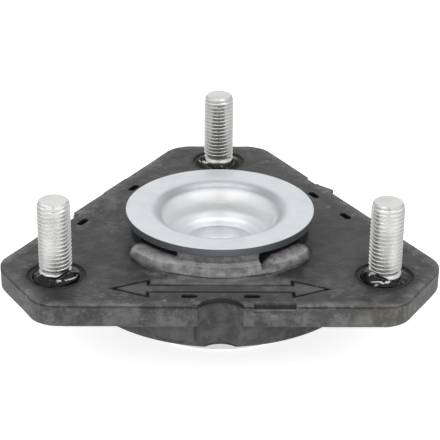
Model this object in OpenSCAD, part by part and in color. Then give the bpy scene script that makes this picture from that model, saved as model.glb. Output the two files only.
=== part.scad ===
// Strut top mount: a triangular rubber-bonded insulator with three studs and a zinc-plated centre spool.
// Millimetres, +Z up along the studs. The origin is on the strut axis at the plate's top face, front at -Y.

/* [Studs] */
// Diameter of the circle through the three stud axes
stud_circle_d = 113.4; // [100:0.1:130]
// Thread diameter of a stud
stud_d = 10; // [8:0.5:12]
// Height of a stud above the plate's top face
stud_h = 24.5; // [20:0.5:40]
// Chamfer at a stud's end
stud_chamfer = 0.9; // [0.4:0.1:1.5]
// How far the serrated collar stands out from the thread
collar_step = 0.25; // [0.1:0.05:0.5]
// How far the serrated collar ends below the plate's top face
collar_drop = 0.2; // [0.1:0.1:1]
// Diameter of a stud's head below the plate
head_d = 16; // [14:0.5:18]
// Thickness of a stud's head
head_t = 2.4; // [1.5:0.1:3]

/* [Steel plate] */
// Sheet thickness of the steel plate
steel_t = 3.2; // [2.3:0.1:4]
// Inside radius of the plate's bends
bend_r = 1.5; // [1:0.1:2.5]
// Rubber between the steel dish and the spool
spring_t = 4.4; // [3:0.1:7]
// Rubber over the wall of the steel dish
dish_cover = 5.4; // [4.5:0.1:8]

/* [Rubber body] */
// Rubber skin above and below the steel
skin = 1.9; // [1.2:0.1:3]
// Rubber skin around the edge of the steel
edge_skin = 1.6; // [1:0.1:3]
// From a stud axis to the cut-off corner
stud_edge = 13; // [11:0.1:18]
// From the round body's wall to a long side
side_margin = 2; // [1.5:0.1:6]
// Corner rounding in plan
corner_r = 9; // [5:0.5:12]
// Rounding along the plate's edges
edge_r = 0.9; // [0.3:0.1:1.5]
// Diameter of the round body below the plate
body_d = 91.8; // [84:0.2:98]
// Depth of the round body below the plate's top face
body_depth = 15.3; // [13:0.1:18]
// Rounding of the round body's lower edge
body_edge_r = 1.4; // [0.5:0.1:2.5]
// How far the neck lies inside the flange's rim
neck_inset = 1.4; // [0.8:0.1:3]
// Fillet at the neck's foot
foot_r = 2; // [1:0.1:3]
// How far the lower cushion lies inside the base's rim
cushion_inset = 2.5; // [1:0.1:4]
// Half angle of the collar's front wall
wall_a = 28; // [20:1:35]
// How far the front wall lies inside the flange's rim
wall_inset = 0.5; // [0.2:0.1:1.2]
// How far the front wall's foot stands out from the flange's rim
wall_foot = 2.4; // [1:0.1:3]
// Angle of a lobe of the collar
lobe_a = 22; // [15:1:30]
// Thickness of a lobe of the collar
lobe_d = 7.2; // [6:0.1:8]
// Gap between a lobe and the flange
lobe_gap = 1.8; // [1.2:0.1:2.5]
// How far the relief above a lobe goes in from the flange's rim
relief_depth = 5; // [3:0.1:6]
// Width of the slanting groove beside the right lobe
slant_w = 2.4; // [1.5:0.1:3.5]
// Slope of the slanting groove, rising to the right
slant_a = 20; // [10:1:45]
// Diameter of the shallow ring around a stud
ring_d = 17.6; // [17:0.1:20]
// Depth of the shallow ring around a stud
ring_depth = 0.5; // [0.2:0.1:1]
// Clearance of the rubber around a stud
stud_gap = 0.55; // [0.3:0.05:1]
// Clearance of the rubber around a stud's head
head_gap = 0.2; // [0.1:0.1:0.5]

/* [Spool] */
// Sheet thickness of both cups
cup_t = 2.4; // [1.8:0.1:3]
// Diameter of the upper cup's flange
flange_d = 58.8; // [54:0.2:62]
// Height of the flange above the plate's top face
flange_h = 9; // [8:0.1:12]
// Outside radius of the upper cup's lip
lip_r = 7; // [5:0.1:8]
// Inside diameter of the cups' walls
well_d = 32.4; // [30:0.2:35]
// Depth of the upper cup
well_depth = 11.5; // [10:0.1:13]
// Inside radius between the upper cup's wall and floor
well_fillet = 3.5; // [2:0.1:4]
// Outside radius of the lower cup's crown
crown_bend = 5; // [4:0.1:6]
// Inside radius of the bend at the lower cup's base
base_bend = 3; // [2:0.1:4]
// Diameter of the hole in the upper cup's floor
floor_hole_d = 22; // [18:0.2:23]
// Diameter of the rod hole in the lower cup
rod_hole_d = 14.2; // [12:0.1:16]
// Diameter of the lower cup's flange
base_d = 60; // [54:0.2:64]
// Depth of the lower cup's base below the plate's top face
base_depth = 25; // [23:0.1:30]
// Chamfer on the cups' rims
rim_chamfer = 0.4; // [0.1:0.1:0.8]

/* [Marks] */
// Length of an oval pocket
pocket_l = 5; // [4:0.1:6]
// Width of an oval pocket
pocket_w = 2.2; // [1.5:0.1:3]
// Half spacing of the pockets at the front and on the right
pocket_x = 9.2; // [8:0.1:11]
// Half spacing of the pockets on the left
pocket_left_x = 15.2; // [12:0.1:17]
// From a long side to the middle of its pockets
pocket_edge = 6.3; // [6:0.1:8]
// Radius of the half-round notch at the front
notch_r = 7.1; // [5:0.1:8]
// Depth of the half-round notch from the long side
notch_depth = 4.9; // [3:0.1:6]
// Near end of a ledge, from the middle of its side
ledge_x = 9.3; // [8.5:0.1:12]
// Length of a ledge
ledge_l = 12.6; // [8:0.1:14]
// How far a ledge goes below the steel's top
ledge_step = 1; // [0.5:0.1:1.5]
// How far a ledge goes in past the steel's edge
ledge_bare = 0.5; // [0.2:0.1:1]

/* [Hidden] */
$fn = 96;
plate_t = steel_t + 2*skin;
steel_top = -skin;
steel_bottom = -skin - steel_t;
stud_r = stud_d/2;
stud_circle_r = stud_circle_d/2;
collar_r = stud_r + collar_step;
head_r = head_d/2;
body_r = body_d/2;
side_d = body_r + side_margin;
corner_d = stud_circle_r + stud_edge;
well_r = well_d/2;
spool_r = well_r + cup_t;
flange_r = flange_d/2;
flange_under = flange_h - cup_t;
lip_x = well_r + lip_r;
lip_z = flange_h - lip_r;
floor_z = flange_h - well_depth;
crown_z = floor_z - cup_t;
base_r = base_d/2;
base_z = -base_depth;
base_top = base_z + cup_t;
neck_r = flange_r - neck_inset;
cushion_r = base_r - cushion_inset;
dish_r = body_r - dish_cover;
dish_floor = skin - body_depth;
dish_hole_r = spool_r + spring_t;
lobe_r = lobe_d/2;
lobe_z = flange_under - lobe_r - lobe_gap;
lobe_x = flange_r;
pocket_y = side_d - pocket_edge;
notch_y = side_d - notch_depth + notch_r;
ledge_z = steel_top - ledge_step;
over = 0.5;

// Normal and distance of the outline's six edges: even ones are long sides, odd ones are cut-off corners
function edge_a(k) = 30 + 60*k;
function edge_d(k) = k % 2 == 0 ? side_d : corner_d;

// Point where two lines meet, each given by its normal's angle and its distance from the axis
function meet(a, da, b, db) = [da*sin(b) - db*sin(a), db*cos(a) - da*cos(b)]/sin(b - a);

// Points along an arc
function arc(c, r, a0, a1, n) = [for (i = [0:n]) c + r*[cos(a0 + (a1 - a0)*i/n), sin(a0 + (a1 - a0)*i/n)]];

// Centre of a corner's rounding, at the corner that follows edge k
function corner(k) = meet(edge_a(k), edge_d(k) - corner_r, edge_a(k + 1), edge_d(k + 1) - corner_r);

// The plate's outline in plan, moved inwards by a given amount
function outline(inset) = [for (k = [0:5]) each arc(corner(k), corner_r - inset, edge_a(k), edge_a(k + 1), 12)];

// One quarter of a ring, turned to a quadrant
module quarter(c, outer, inner, turn) {
    translate(c)
        rotate(turn)
            intersection() {
                difference() {
                    circle(outer);
                    circle(inner);
                }
                square(outer + 1);
            }
}

// Puts a copy at each stud axis
module at_studs() {
    for (a = [90, 210, 330])
        rotate([0, 0, a])
            translate([stud_circle_r, 0, 0])
                children();
}

// Section of the upper cup
module upper_profile() {
    polygon([
        [lip_x, flange_under],
        [flange_r - rim_chamfer, flange_under],
        [flange_r, flange_under + rim_chamfer],
        [flange_r, flange_h - rim_chamfer],
        [flange_r - rim_chamfer, flange_h],
        [lip_x, flange_h]
    ]);
    quarter([lip_x, lip_z], lip_r, lip_r - cup_t, 90);
    translate([well_r, floor_z + well_fillet])
        square([cup_t, lip_z - floor_z - well_fillet]);
    quarter([well_r - well_fillet, floor_z + well_fillet], well_fillet + cup_t, well_fillet, 270);
    translate([floor_hole_d/2, crown_z])
        square([well_r - well_fillet - floor_hole_d/2, cup_t]);
}

// Section of the lower cup
module lower_profile() {
    translate([rod_hole_d/2, crown_z - cup_t])
        square([spool_r - crown_bend - rod_hole_d/2, cup_t]);
    quarter([spool_r - crown_bend, crown_z - crown_bend], crown_bend, crown_bend - cup_t, 0);
    translate([well_r, base_top + base_bend])
        square([cup_t, crown_z - crown_bend - base_top - base_bend]);
    quarter([spool_r + base_bend, base_top + base_bend], base_bend + cup_t, base_bend, 180);
    polygon([
        [spool_r + base_bend, base_z],
        [base_r - rim_chamfer, base_z],
        [base_r, base_z + rim_chamfer],
        [base_r, base_top - rim_chamfer],
        [base_r - rim_chamfer, base_top],
        [spool_r + base_bend, base_top]
    ]);
}

// Section of the room that the spool takes up in the rubber
module spool_room() {
    translate([0, base_z - 1])
        square([spool_r, flange_h - base_z + 2]);
    difference() {
        translate([spool_r - over, lip_z])
            square([lip_x - spool_r + over, lip_r + 1]);
        translate([lip_x, lip_z])
            circle(lip_r - cup_t);
    }
    translate([lip_x - over, flange_under])
        square([flange_r - lip_x + 2, cup_t + 1]);
    difference() {
        translate([spool_r - over, base_z - 1])
            square([base_bend + over, base_bend + cup_t + 1]);
        translate([spool_r + base_bend, base_top + base_bend])
            circle(base_bend);
    }
    translate([spool_r + base_bend - over, base_z - 1])
        square([base_r, cup_t + 1]);
}

// Section of the round body, the neck and the lower cushion, without the room for the spool
module core_profile() {
    difference() {
        union() {
            translate([spool_r - over, -body_depth])
                square([body_r - spool_r + over, body_depth]);
            translate([spool_r - over, -over])
                square([neck_r - spool_r + over, flange_under + over]);
            difference() {
                translate([neck_r - over, -over])
                    square([foot_r + over, foot_r + over]);
                translate([neck_r + foot_r, foot_r])
                    circle(foot_r);
            }
            translate([spool_r - over, base_top])
                square([cushion_r - spool_r + over, -body_depth - base_top + over]);
            difference() {
                translate([cushion_r - over, -body_depth - foot_r])
                    square([foot_r + over, foot_r + over]);
                translate([cushion_r + foot_r, -body_depth - foot_r])
                    circle(foot_r);
            }
        }
        difference() {
            translate([body_r - body_edge_r, -body_depth - 1])
                square([body_edge_r + 1, body_edge_r + 1]);
            translate([body_r - body_edge_r, body_edge_r - body_depth])
                circle(body_edge_r);
        }
        spool_room();
    }
}

// Section of the drawn dish in the steel plate
module dish_profile() {
    translate([dish_r + bend_r, steel_bottom])
        square([over, steel_t]);
    quarter([dish_r + bend_r, steel_bottom - bend_r], bend_r + steel_t, bend_r, 90);
    translate([dish_r - steel_t, dish_floor + steel_t + bend_r])
        square([steel_t, steel_bottom - dish_floor - steel_t - 2*bend_r]);
    quarter([dish_r - steel_t - bend_r, dish_floor + steel_t + bend_r], bend_r + steel_t, bend_r, 270);
    translate([dish_hole_r, dish_floor])
        square([dish_r - steel_t - bend_r - dish_hole_r, steel_t]);
}

// The steel plate before its stud holes are punched
module plate_blank() {
    difference() {
        union() {
            translate([0, 0, steel_bottom])
                linear_extrude(steel_t)
                    difference() {
                        polygon(outline(edge_skin));
                        circle(dish_r + bend_r);
                    }
            rotate_extrude()
                dish_profile();
        }
        translate([0, -notch_y, steel_bottom - bend_r])
            cylinder(h = steel_t + 2*bend_r, r = notch_r + edge_skin);
    }
}

// The moulded plate with rounded edges
module plate_slab() {
    hull()
        for (s = [[edge_r, 0], [0.29*edge_r, 0.29*edge_r], [0, edge_r]])
            translate([0, 0, s[1] - plate_t])
                linear_extrude(plate_t - 2*s[1])
                    polygon(outline(s[0]));
}

// The collar at the front: a wall up to the flange and a rounded lobe on either side
module collar() {
    rotate([0, 0, 270 - wall_a])
        rotate_extrude(angle = 2*wall_a)
            polygon([
                [neck_r - over, flange_under],
                [flange_r - wall_inset, flange_under],
                [flange_r - 0.6*wall_inset, 0.48*flange_under],
                [flange_r + 0.5*wall_foot, 0.22*flange_under],
                [flange_r + wall_foot, 0],
                [flange_r + wall_foot, -over],
                [neck_r - over, -over]
            ]);
    for (a = [270 - wall_a - lobe_a, 270 + wall_a])
        rotate([0, 0, a])
            translate([0, 0, lobe_z]) {
                rotate_extrude(angle = lobe_a)
                    translate([lobe_x, 0])
                        circle(lobe_r);
                for (e = [0, lobe_a])
                    rotate([0, 0, e])
                        translate([lobe_x, 0, 0])
                            sphere(1.01*lobe_r);
            }
}

// Relief between the flange and each lobe of the collar
module relief() {
    for (a = [270 - wall_a - lobe_a, 270 + wall_a - 2])
        rotate([0, 0, a])
            rotate_extrude(angle = lobe_a + 2)
                translate([flange_r - relief_depth, lobe_z + lobe_r - 0.2*lobe_gap])
                    square([relief_depth + lobe_d, 1.2*lobe_gap + over]);
}

// Slanting groove between the front wall and the right lobe
module slant() {
    rotate([0, 0, 270 + wall_a + slant_a/6])
        translate([flange_r, 0, 0.64*flange_under])
            rotate([-90 + slant_a, 0, 0])
                cube([relief_depth, slant_w, 3*lobe_r], center = true);
}

// Oval pocket left by a mould pin, down to the steel
module pocket() {
    translate([0, 0, steel_top - over])
        linear_extrude(skin + over + 1) {
            square([pocket_l - pocket_w, pocket_w], center = true);
            for (x = [-1, 1])
                translate([x*(pocket_l - pocket_w)/2, 0])
                    circle(pocket_w/2);
        }
}

// The pockets of one long side
module pocket_pair(x) {
    for (s = [-x, x])
        translate([s, -pocket_y, 0])
            pocket();
}

// Everything cut into the top, the sides and the underside of the moulding
module moulded_marks() {
    pocket_pair(pocket_x);
    rotate([0, 0, 120])
        pocket_pair(pocket_x);
    rotate([0, 0, 240])
        pocket_pair(pocket_left_x);
    translate([0, -notch_y, -body_depth - 1])
        cylinder(h = body_depth + 2, r = notch_r);
    for (a = [0, 120, 240])
        rotate([0, 0, a])
            translate([ledge_x, -side_d - 1, ledge_z])
                cube([ledge_l, edge_skin + ledge_bare + 1, 1 - ledge_z]);
    at_studs() {
        translate([0, 0, -ring_depth])
            cylinder(h = 1 + ring_depth, r = ring_d/2);
        translate([0, 0, steel_top - over])
            cylinder(h = skin + 1, r = collar_r + stud_gap);
        translate([0, 0, -plate_t - 1])
            cylinder(h = skin + 1 + over, r = head_r + head_gap);
    }
}

// One press-in stud, its seat under the head at the steel's lower face
module stud() {
    color("#c9c9c4") {
        translate([0, 0, stud_h - stud_chamfer])
            cylinder(h = stud_chamfer, r1 = stud_r, r2 = stud_r - stud_chamfer);
        translate([0, 0, steel_bottom])
            cylinder(h = stud_h - stud_chamfer - steel_bottom, r = stud_r);
        translate([0, 0, steel_bottom])
            cylinder(h = -collar_drop - steel_bottom, r = collar_r);
        translate([0, 0, steel_bottom - head_t])
            cylinder(h = head_t, r = head_r);
    }
}

// Puts a stud at one of the three axes
module stud_at(a) {
    rotate([0, 0, a])
        translate([stud_circle_r, 0, 0])
            stud();
}

module rubber_body() {
    color("#3c3d3f")
        difference() {
            union() {
                plate_slab();
                rotate_extrude()
                    core_profile();
                difference() {
                    union() {
                        collar();
                        rotate([0, 0, 180])
                            collar();
                    }
                    rotate_extrude()
                        spool_room();
                }
            }
            rotate_extrude()
                spool_room();
            relief();
            rotate([0, 0, 180])
                relief();
            slant();
            plate_blank();
            moulded_marks();
        }
}

module mounting_plate() {
    color("#5b5e62")
        difference() {
            plate_blank();
            at_studs()
                translate([0, 0, steel_bottom - 1])
                    cylinder(h = steel_t + 2, r = collar_r);
        }
}

module upper_cup() {
    color("#cfd4d7")
        rotate_extrude()
            upper_profile();
}

module lower_cup() {
    color("#c4c9cc")
        rotate_extrude()
            lower_profile();
}

module stud_rear() {
    stud_at(90);
}

module stud_left() {
    stud_at(210);
}

module stud_right() {
    stud_at(330);
}

rubber_body();
mounting_plate();
upper_cup();
lower_cup();
stud_rear();
stud_left();
stud_right();
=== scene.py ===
"""Strut top mount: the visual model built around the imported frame.

Sizes are in millimetres in the part's own frame and become metres where a mesh is made.
"""

from __future__ import annotations

import logging
import math
from dataclasses import dataclass
from enum import Enum
from typing import Callable, Iterable, Sequence

import bmesh
import bpy
from mathutils import Matrix, Vector, noise

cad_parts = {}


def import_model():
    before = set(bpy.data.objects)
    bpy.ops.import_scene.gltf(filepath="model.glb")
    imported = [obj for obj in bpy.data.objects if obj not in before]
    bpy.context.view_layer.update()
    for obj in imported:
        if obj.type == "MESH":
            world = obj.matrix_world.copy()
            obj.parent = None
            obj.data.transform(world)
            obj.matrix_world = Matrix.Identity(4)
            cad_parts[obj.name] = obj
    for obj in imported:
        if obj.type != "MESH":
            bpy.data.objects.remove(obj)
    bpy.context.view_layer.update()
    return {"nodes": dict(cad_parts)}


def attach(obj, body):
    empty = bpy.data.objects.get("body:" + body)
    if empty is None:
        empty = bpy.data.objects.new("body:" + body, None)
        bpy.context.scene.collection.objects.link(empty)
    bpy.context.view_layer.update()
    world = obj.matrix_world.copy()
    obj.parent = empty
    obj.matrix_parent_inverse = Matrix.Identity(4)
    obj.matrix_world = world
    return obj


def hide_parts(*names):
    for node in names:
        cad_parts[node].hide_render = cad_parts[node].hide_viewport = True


Point2 = tuple[float, float]
Point3 = tuple[float, float, float]
Colour = tuple[float, float, float]
Piece = bpy.types.Object
Material = bpy.types.Material
Tree = bpy.types.NodeTree
Socket = bpy.types.NodeSocket
Edge = bmesh.types.BMEdge

MM = 0.001
SIDE_D = 47.9
CORNER_D = 69.7
STUD_CIRCLE_R = 56.7
NOTCH_Y = -50.1
FLANGE_R = 29.4
SHARP = 1.2
EVEN: Point3 = (1.0, 1.0, 1.0)
FLAT: Point3 = (1.0, 1.0, 0.0)
log = logging.getLogger("strut_mount")


class Join(Enum):
    """How one solid is combined with another."""

    ADD = "UNION"
    TAKE = "DIFFERENCE"


class Corner(Enum):
    """The three stud corners, by the angle of their axis in plan."""

    REAR = 90.0
    LEFT = 210.0
    RIGHT = 330.0


def arc(centre: Point2, radius: float, start: float, end: float, count: int) -> list[Point2]:
    """Points along a fillet of a turned section, in steps from one angle in degrees to another."""
    turns = [math.radians(start + (end - start) * i / count) for i in range(count + 1)]
    return [(centre[0] + radius * math.cos(t), centre[1] + radius * math.sin(t)) for t in turns]


def plan(angle: float, out: float, along: float = 0.0) -> Point2:
    """A point in plan: so far out in a direction in degrees, and so far along from there, anticlockwise."""
    t = math.radians(angle)
    return (out * math.cos(t) - along * math.sin(t), out * math.sin(t) + along * math.cos(t))


def ramp(value: float, low: float, high: float) -> float:
    """Rises smoothly from 0 at low to 1 at high."""
    t = min(1.0, max(0.0, (value - low) / (high - low)))
    return t * t * (3.0 - 2.0 * t)


def off_by(angle: float, centre: float) -> float:
    """Signed difference of two angles in degrees, from -180 to 180."""
    return (angle - centre + 180.0) % 360.0 - 180.0


def shaded(colour: Colour, share: float) -> Colour:
    """A colour at a share of its brightness."""
    return tuple(share * c for c in colour)


class Shape:
    """A closed mesh under construction, with sizes given in millimetres."""

    def __init__(self) -> None:
        """Starts with an empty bmesh."""
        self.bm = bmesh.new()

    @classmethod
    def lathe(cls, section: Sequence[Point2], steps: int = 96, start: float = 0.0,
              sweep: float = 360.0) -> Shape:
        """Turns a closed section about the strut axis.

        Args:
            section: Radius and height of the section's corners, in order.
            steps: Number of facets in the sweep.
            start: Angle in degrees at which the sweep begins.
            sweep: Angle in degrees that it covers.

        Returns:
            The turned solid.
        """
        shape = cls()
        bm = shape.bm
        face = bm.faces.new([bm.verts.new((r * MM, 0.0, z * MM)) for r, z in section])
        geom = [*face.verts, *face.edges]
        full = abs(sweep - 360.0) < 1e-6
        if full:
            bmesh.ops.delete(bm, geom=[face], context="FACES_ONLY")
        else:
            geom.append(face)
        bmesh.ops.spin(bm, geom=geom, cent=(0, 0, 0), axis=(0, 0, 1), angle=math.radians(sweep), steps=steps,
                       use_merge=full, dvec=(0, 0, 0))
        return shape.tidy().turn(start)

    @classmethod
    def prism(cls, outline: Sequence[Point2], low: float, high: float) -> Shape:
        """Raises an outline in plan to a solid.

        Args:
            outline: The outline's corners in order.
            low: Height of its lower face.
            high: Height of its upper face.

        Returns:
            The solid.
        """
        shape = cls()
        bm = shape.bm
        face = bm.faces.new([bm.verts.new((x * MM, y * MM, low * MM)) for x, y in outline])
        raised = bmesh.ops.extrude_face_region(bm, geom=[face])["geom"]
        tops = [v for v in raised if isinstance(v, bmesh.types.BMVert)]
        bmesh.ops.translate(bm, verts=tops, vec=(0, 0, (high - low) * MM))
        return shape.tidy()

    @classmethod
    def block(cls, low: Point3, high: Point3, round_off: float = 0.0) -> Shape:
        """Makes a block between two corners, with softened edges.

        Args:
            low: The lowest corner.
            high: The highest corner.
            round_off: Rounding of all its edges.

        Returns:
            The block.
        """
        outline = [(low[0], low[1]), (high[0], low[1]), (high[0], high[1]), (low[0], high[1])]
        shape = cls.prism(outline, low[2], high[2])
        if round_off:
            shape.soften(shape.bm.edges, round_off, 3)
        return shape

    @classmethod
    def gather(cls, shapes: Iterable[Shape]) -> Shape:
        """Gathers shapes that stay clear of each other into one and frees them.

        Args:
            shapes: The shapes to gather.

        Returns:
            One shape with all of their faces.
        """
        whole = cls()
        for shape in shapes:
            mesh = bpy.data.meshes.new("gathered")
            shape.bm.to_mesh(mesh)
            shape.bm.free()
            whole.bm.from_mesh(mesh)
            bpy.data.meshes.remove(mesh)
        return whole

    def tidy(self) -> Shape:
        """Merges doubles, drops stray edges, turns the faces outwards and returns the shape."""
        bmesh.ops.remove_doubles(self.bm, verts=self.bm.verts, dist=1e-7)
        bmesh.ops.delete(self.bm, geom=[e for e in self.bm.edges if not e.link_faces], context="EDGES")
        bmesh.ops.recalc_face_normals(self.bm, faces=self.bm.faces)
        return self

    def soften(self, edges: Iterable[Edge], width: float, segments: int) -> Shape:
        """Rounds the given edges up to a width on each side, in facets, and returns the shape."""
        bmesh.ops.bevel(self.bm, geom=list(edges), offset=width * MM, segments=segments, profile=0.5,
                        affect="EDGES", material=-1, clamp_overlap=True)
        return self

    def turn(self, angle: float, axis: str = "Z") -> Shape:
        """Turns the shape about an axis through the origin by an angle in degrees, and returns it."""
        bmesh.ops.rotate(self.bm, verts=self.bm.verts, cent=(0, 0, 0),
                         matrix=Matrix.Rotation(math.radians(angle), 3, axis))
        return self

    def move(self, x: float, y: float, z: float = 0.0) -> Shape:
        """Moves the shape by a step in millimetres and returns it."""
        bmesh.ops.translate(self.bm, verts=self.bm.verts, vec=(x * MM, y * MM, z * MM))
        return self

    def warp(self, rule: Callable[[Vector], Vector]) -> Shape:
        """Moves every vertex to where a rule in millimetres puts it, and returns the shape."""
        for v in self.bm.verts:
            v.co = rule(v.co / MM) * MM
        return self

    def uprights(self) -> list[Edge]:
        """Lists the edges that stand upright."""
        return [e for e in self.bm.edges if abs(e.verts[0].co.z - e.verts[1].co.z) > MM]

    def sharp_edges(self, low: float, high: float) -> list[Edge]:
        """Lists the edges that turn sharply and lie between two heights."""
        return [e for e in self.bm.edges if len(e.link_faces) == 2 and abs(e.calc_face_angle(0.0)) > SHARP
                and all(low * MM < v.co.z < high * MM for v in e.verts)]

    def loop_at(self, height: float) -> list[bmesh.types.BMVert]:
        """Cuts a level loop round the shape.

        Args:
            height: The loop's height.

        Returns:
            The loop's vertices.
        """
        geom = [*self.bm.verts, *self.bm.edges, *self.bm.faces]
        cut = bmesh.ops.bisect_plane(self.bm, geom=geom, dist=1e-7, plane_co=(0, 0, height * MM),
                                     plane_no=(0, 0, 1))
        return [v for v in cut["geom_cut"] if isinstance(v, bmesh.types.BMVert)]

    def solid(self, name: str) -> Piece:
        """Turns the shape into an object and frees the bmesh.

        Args:
            name: Name of the object.

        Returns:
            The object, linked to the scene.
        """
        mesh = bpy.data.meshes.new(name)
        self.bm.to_mesh(mesh)
        self.bm.free()
        obj = bpy.data.objects.new(name, mesh)
        bpy.context.scene.collection.objects.link(obj)
        return obj


def weld(mesh: bpy.types.Mesh) -> None:
    """Merges points that all but touch and drops slivers and loose points.

    Args:
        mesh: The mesh to clean.
    """
    bm = bmesh.new()
    bm.from_mesh(mesh)
    bmesh.ops.remove_doubles(bm, verts=bm.verts, dist=2e-6)
    bmesh.ops.dissolve_degenerate(bm, edges=bm.edges, dist=1e-6)
    bmesh.ops.delete(bm, geom=[v for v in bm.verts if not v.link_faces], context="VERTS")
    bm.to_mesh(mesh)
    bm.free()


def combine(body: Piece, tool: Piece, how: Join) -> None:
    """Combines a solid with a tool and removes the tool.

    Args:
        body: The solid that is kept.
        tool: The solid that is used up.
        how: Whether the tool is added or taken away.
    """
    step = body.modifiers.new("combine", "BOOLEAN")
    step.operation = how.value
    step.solver = "EXACT"
    step.object = tool
    seen = body.evaluated_get(bpy.context.evaluated_depsgraph_get())
    mesh = bpy.data.meshes.new_from_object(seen)
    body.modifiers.clear()
    old, body.data = body.data, mesh
    bpy.data.meshes.remove(old)
    spent = tool.data
    bpy.data.objects.remove(tool)
    bpy.data.meshes.remove(spent)
    weld(mesh)


def smooth(obj: Piece, angle: float) -> None:
    """Cleans a finished mesh and shades it smooth up to an angle.

    Args:
        obj: The finished piece.
        angle: Edges sharper than this many degrees stay sharp.
    """
    weld(obj.data)
    obj.data.shade_smooth()
    obj.data.set_sharp_from_angle(angle=math.radians(angle))
    flats = obj.modifiers.new("flats", "WEIGHTED_NORMAL")
    flats.keep_sharp = True


def place(obj: Piece, slot: str, finish: Material, *nodes: str) -> None:
    """Dresses a piece, rides it on the part and hides the CAD nodes that it stands for.

    Args:
        obj: The finished piece.
        slot: The record's material slot; not used.
        finish: The piece's material.
        nodes: CAD nodes that it stands for.
    """
    obj.data.materials.clear()
    obj.data.materials.append(finish)
    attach(obj, "root")
    if nodes:
        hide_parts(*nodes)
    log.info("%s: %d faces", obj.name, len(obj.data.polygons))


class Graph:
    """A small helper that wires shader nodes."""

    def __init__(self, tree: Tree) -> None:
        """Takes the node tree to wire."""
        self.tree = tree

    def add(self, kind: str, values: dict | None = None, **props: object) -> bpy.types.Node:
        """Adds a node.

        Args:
            kind: The node's type.
            values: Input sockets by name or number, each a value or a socket to link from.
            props: Properties of the node.

        Returns:
            The node.
        """
        node = self.tree.nodes.new(kind)
        for key, value in props.items():
            setattr(node, key, value)
        for key, value in (values or {}).items():
            if isinstance(value, Socket):
                self.tree.links.new(value, node.inputs[key])
            else:
                node.inputs[key].default_value = value
        return node

    def group(self, tree: Tree, values: dict) -> Socket:
        """Places a node group and returns its first output."""
        return self.add("ShaderNodeGroup", values, node_tree=tree).outputs[0]

    def vector(self, how: str, a: object, b: object = (0.0, 0.0, 0.0)) -> Socket:
        """Adds a vector maths node and returns the output that the operation fills."""
        node = self.add("ShaderNodeVectorMath", {0: a, 1: b}, operation=how)
        return node.outputs["Value" if how in ("LENGTH", "DOT_PRODUCT") else "Vector"]

    def parts(self, vector: Socket) -> tuple[Socket, Socket, Socket]:
        """Splits a vector into x, y and z."""
        return tuple(self.add("ShaderNodeSeparateXYZ", {0: vector}).outputs)

    def maths(self, how: str, a: object, b: object = 0.0, clamp: bool = True) -> Socket:
        """Adds a maths node, clamped to 0 to 1 unless told otherwise, and returns its output."""
        return self.add("ShaderNodeMath", {0: a, 1: b}, operation=how, use_clamp=clamp).outputs[0]

    def size(self, value: object) -> Socket:
        """Returns a value without its sign."""
        return self.maths("ABSOLUTE", value, clamp=False)

    def times(self, first: object, *more: object) -> Socket:
        """Multiplies masks and shares and returns their product."""
        for value in more:
            first = self.maths("MULTIPLY", first, value)
        return first

    def most(self, first: object, *more: object) -> Socket:
        """Returns the strongest of several masks."""
        for value in more:
            first = self.maths("MAXIMUM", first, value)
        return first

    def lift(self, mask: object, share: float, least: float) -> Socket:
        """Returns a share of a mask on top of a least value."""
        return self.maths("ADD", self.times(mask, share), least)

    def rest(self, mask: object, share: float = 1.0) -> Socket:
        """Returns what a share of a mask leaves of 1."""
        return self.maths("SUBTRACT", 1.0, self.times(mask, share))

    def rise(self, value: object, low: object, high: object) -> Socket:
        """Adds a smooth step from 0 at low to 1 at high and returns its output."""
        node = self.add("ShaderNodeMapRange", {"Value": value, "From Min": low, "From Max": high},
                        interpolation_type="SMOOTHSTEP")
        return node.outputs[0]

    def spread(self, mask: object, low: object, high: object) -> Socket:
        """Spreads a mask evenly from low to high and returns the value."""
        return self.add("ShaderNodeMapRange", {"Value": mask, "To Min": low, "To Max": high}).outputs[0]

    def blend(self, mask: object, a: object, b: object) -> Socket:
        """Mixes two colours, each three numbers or a socket, and returns the mix; the mask is b's share."""
        a, b = ((*c, 1.0) if isinstance(c, tuple) else c for c in (a, b))
        return self.add("ShaderNodeMix", {0: mask, 6: a, 7: b}, data_type="RGBA").outputs[2]


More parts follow.
